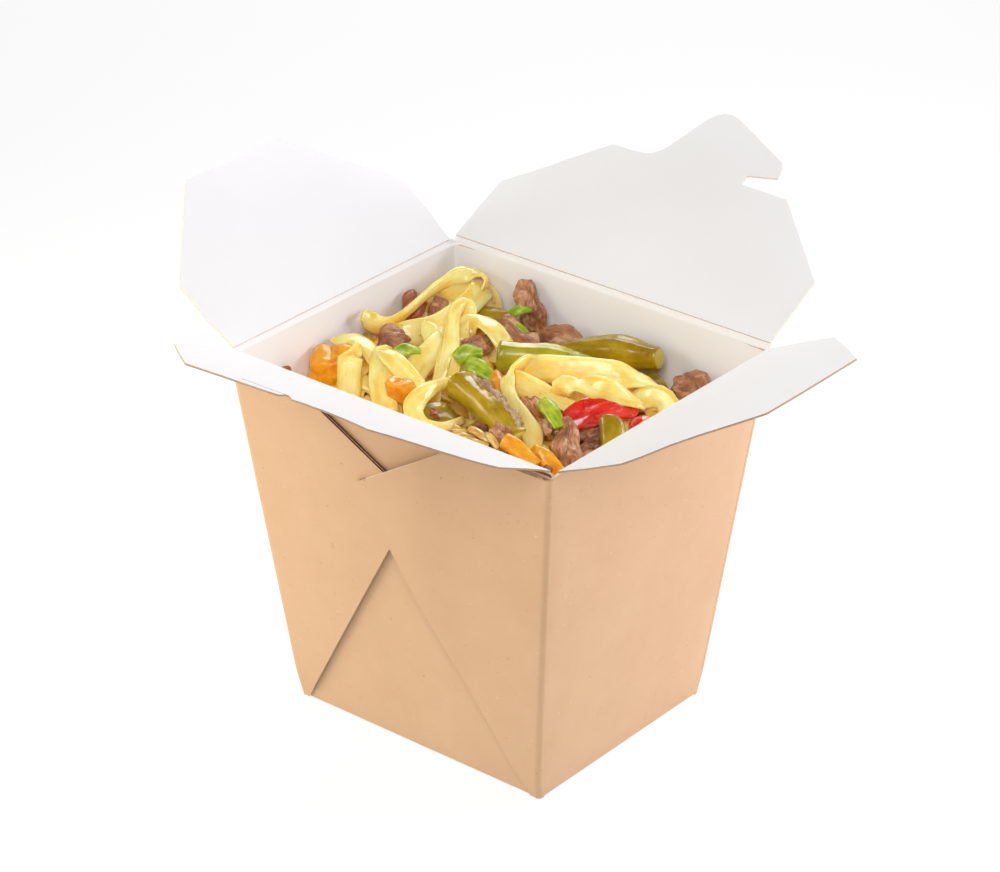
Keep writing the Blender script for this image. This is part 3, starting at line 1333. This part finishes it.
pepper_finish, grain = new_finish(
    "red_pepper", "grain", Subsurface_Weight=0.25, Subsurface_Radius=(1.0, 0.12, 0.05), Subsurface_Scale=0.003,
    Coat_Roughness=0.06, Coat_Weight=1.0,
)
cloud = grain.grain(160, 3, 0.6)
skin = cloud.band(0.35, 0.65).mixed(tone(204, 14, 8), tone(238, 48, 28))
worn = grain.stretched(160, 420, 420).grain(1.0, 3, 0.7).band(0.5, 0.66)
skin = (worn * 0.75).mixed(skin, tone(252, 158, 148))
connect(pepper_finish, Base_Color=skin, Roughness=0.18 + cloud * 0.2, Normal=cloud.height(0.4, 0.0008))
for node in ("pepper_red", "pepper_edge"):
    topping(node, pepper_finish, 0.4 * MM, smooth_skin)


# ---------------------------------------------------------------- spring onion
# Short lengths of spring onion leaf and stalk, bright green and shiny, a little curled: thin leaf on
# some and a thicker pale stalk on others.

onion_finish, lay = new_finish(
    "spring_onion", "lay", Subsurface_Weight=0.15, Subsurface_Radius=(0.8, 0.8, 0.2), Subsurface_Scale=0.002,
    Coat_Roughness=0.08,
)
lines = lay.stretched(30, 6, 1).grain(1.0, 3, 0.6)
cloud = lay.stretched(160, 1.2, 1).grain(1.0, 2, 0.5)
leaf = (lines * 0.4 + cloud * 0.6).band(0.32, 0.7).mixed(tone(106, 148, 8), tone(196, 204, 42))
connect(
    onion_finish, Base_Color=leaf, Roughness=0.3 + cloud * 0.2, Coat_Weight=cloud.band(0.3, 0.6) * 0.4,
    Normal=lines.height(0.25, 0.0002),
)


def small_strip(name, stops, width, thick, finish, seed):
    """A short bent strip along its stops."""
    even, marks = spaced([Vector(stop) * MM for stop in stops], 0.6 * MM)
    faces, ways = facings(even, [(0, EYE), (len(even) - 1, UP)])
    last = len(even) - 1
    widths = [width * MM * (0.72 + 0.28 * math.sin(math.pi * (0.08 + 0.84 * i / last)) ** 0.5) for i in range(last + 1)]
    piece = ribbon(name, even, faces, ways, widths, thick=thick * MM, seed=seed)
    piece.data.materials.append(finish)
    bpy.ops.object.shade_smooth()
    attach(piece, "root")
    return piece


SPRING_ONION = (
    (4.0, 1.4, ((-30.6, -5, 90.8), (-28.9, -2.2, 92.2), (-27, 0.4, 91.4))),
    (4.6, 2.6, ((-16.2, 2.2, 91.4), (-15.1, 5.4, 93), (-13.3, 8.2, 92))),
    (4.8, 2.0, ((-12.6, 2.8, 91.4), (-7.8, 0.9, 92.4), (-3.4, 1.2, 90.4))),
    (3.0, 1.4, ((-22.7, 31.3, 91.2), (-20.7, 32.8, 92.7), (-19.4, 35.6, 92.3))),
    (4.2, 1.6, ((15.2, -2.4, 91.4), (20, -4.8, 91.6), (24.8, -7, 89.4))),
    (2.2, 1.2, ((-22.3, 28.2, 89.8), (-18.2, 28.5, 90.8), (-14.6, 29.1, 89))),
)
for number, (width, thick, stops) in enumerate(SPRING_ONION):
    piece = small_strip(f"spring_onion_{number}", stops, width, thick, onion_finish, number * 1.7)


# ---------------------------------------------------------------- onion and crumbs
# Thin slivers of onion gone soft and clear in the sauce by the front corner, one curled scrap of meat
# among them, and a few browned crumbs that stick to the board and the food.

sliver_finish, lay = new_finish(
    "onion", "lay", Subsurface_Weight=0.6, Subsurface_Radius=(1.0, 0.75, 0.35), Subsurface_Scale=0.003,
    Coat_Roughness=0.08, Coat_Weight=0.8,
)
cloud = lay.stretched(110, 1, 1).grain(1.0, 2, 0.5)
connect(
    sliver_finish, Base_Color=cloud.band(0.35, 0.65).mixed(tone(206, 146, 56), tone(240, 206, 128)),
    Roughness=0.2 + cloud * 0.2,
)
SLIVERS = (
    (2.2, ((-1.6, -19, 85.8), (2.3, -20.2, 87), (4.4, -18.6, 86))),
    (2.0, ((2.6, -21.2, 86), (6.6, -22.2, 87), (8.8, -20.2, 86))),
    (2.2, ((5.2, -18, 87), (9.4, -19.8, 87.8), (12.6, -19.6, 86.4))),
    (1.8, ((6.9, -21.8, 86), (10.8, -22.6, 86.9), (13.4, -21, 86))),
    (2.0, ((10, -18.4, 87), (12.9, -19.4, 87.6), (15.8, -20, 86))),
    (1.8, ((-5.4, -21.6, 86), (-2, -23.6, 86.4), (1.4, -23.4, 86))),
    (1.8, ((17.6, -19.6, 86), (20.6, -17.6, 86.6), (23.4, -17.4, 85.6))),
    (1.8, ((28.4, -14.6, 85.4), (30.2, -16.8, 86), (33.4, -17.8, 85))),
)
slivers = [small_strip(f"sliver_{n}", stops, width, 1.5, sliver_finish, n * 2.3) for n, (width, stops) in enumerate(SLIVERS)]
onion = join(slivers, "onion_slivers")

even, _ = spaced([Vector(stop) * MM for stop in ((-5.4, -5.4, 93.4), (5.5, -8.4, 92.6), (16, -11.2, 88.4))], 0.5 * MM)
faces, ways = facings(even, [(0, UP), (len(even) - 1, UP)])
widths = [3.4 * MM * (0.6 + 0.4 * abs(noise.noise(Vector((k * 0.13, 3, 0))))) for k in range(len(even))]
mince = ribbon("meat_on_bean", even, faces, ways, widths, thick=1.9 * MM, seed=4.2)
modify(mince, "REMESH", mode="VOXEL", voxel_size=0.3 * MM)
grain = mince.data.attributes.new("grain", "FLOAT_VECTOR", "POINT")
normals = [vertex.normal.copy() for vertex in mince.data.vertices]
for vertex, normal in zip(mince.data.vertices, normals):
    grain.data[vertex.index].vector = vertex.co
    knobs = abs(noise.noise(vertex.co * 480)) - 0.25
    vertex.co += normal * (1.5 * knobs + 0.7 * noise.noise(vertex.co * 1200)) * MM
minced = beef_finish("beef_minced", tone(150, 106, 66), tone(204, 168, 128), tone(236, 214, 186), 0.34, 0.5)
mince.data.materials.append(minced)
pick(mince)
bpy.ops.object.shade_smooth()
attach(mince, "root")

SCRAPS = (
    ("meat_curl", (13.6, -16.2, 87.4), 2.7, stewed), ("crumb_wall", (-48.4, -26.4, 89.4), 1.1, browned),
    ("crumb_corner", (31.5, -20.6, 85.6), 1.3, glazed), ("scrap_middle", (22.6, -0.5, 87.2), 2.2, glazed),
    ("scrap_front", (6.2, -15.4, 85.4), 2.2, glazed), ("scrap_ring", (-7.6, -16.2, 86), 1.8, browned),
)
for name, place, radius, finish in SCRAPS:
    bpy.ops.object.select_all(action="DESELECT")
    bpy.ops.mesh.primitive_ico_sphere_add(subdivisions=5, radius=radius * MM, location=(0, 0, 0))
    scrap = bpy.context.object
    scrap.name = name
    grain = scrap.data.attributes.new("grain", "FLOAT_VECTOR", "POINT")
    for vertex in scrap.data.vertices:
        grain.data[vertex.index].vector = vertex.co + Vector((radius, 0, 0))
        way = vertex.co.normalized()
        knobs = abs(noise.noise(vertex.co * 520 + Vector((radius * 9, 0, 0))))
        swell = noise.noise(vertex.co * 260 + Vector((radius * 5, 0, 0)))
        vertex.co = Vector(place) * MM + way * radius * MM * (0.8 + 0.7 * knobs + 0.4 * swell)
    scrap.data.materials.append(finish)
    bpy.ops.object.shade_smooth()
    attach(scrap, "root")

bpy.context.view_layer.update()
import json
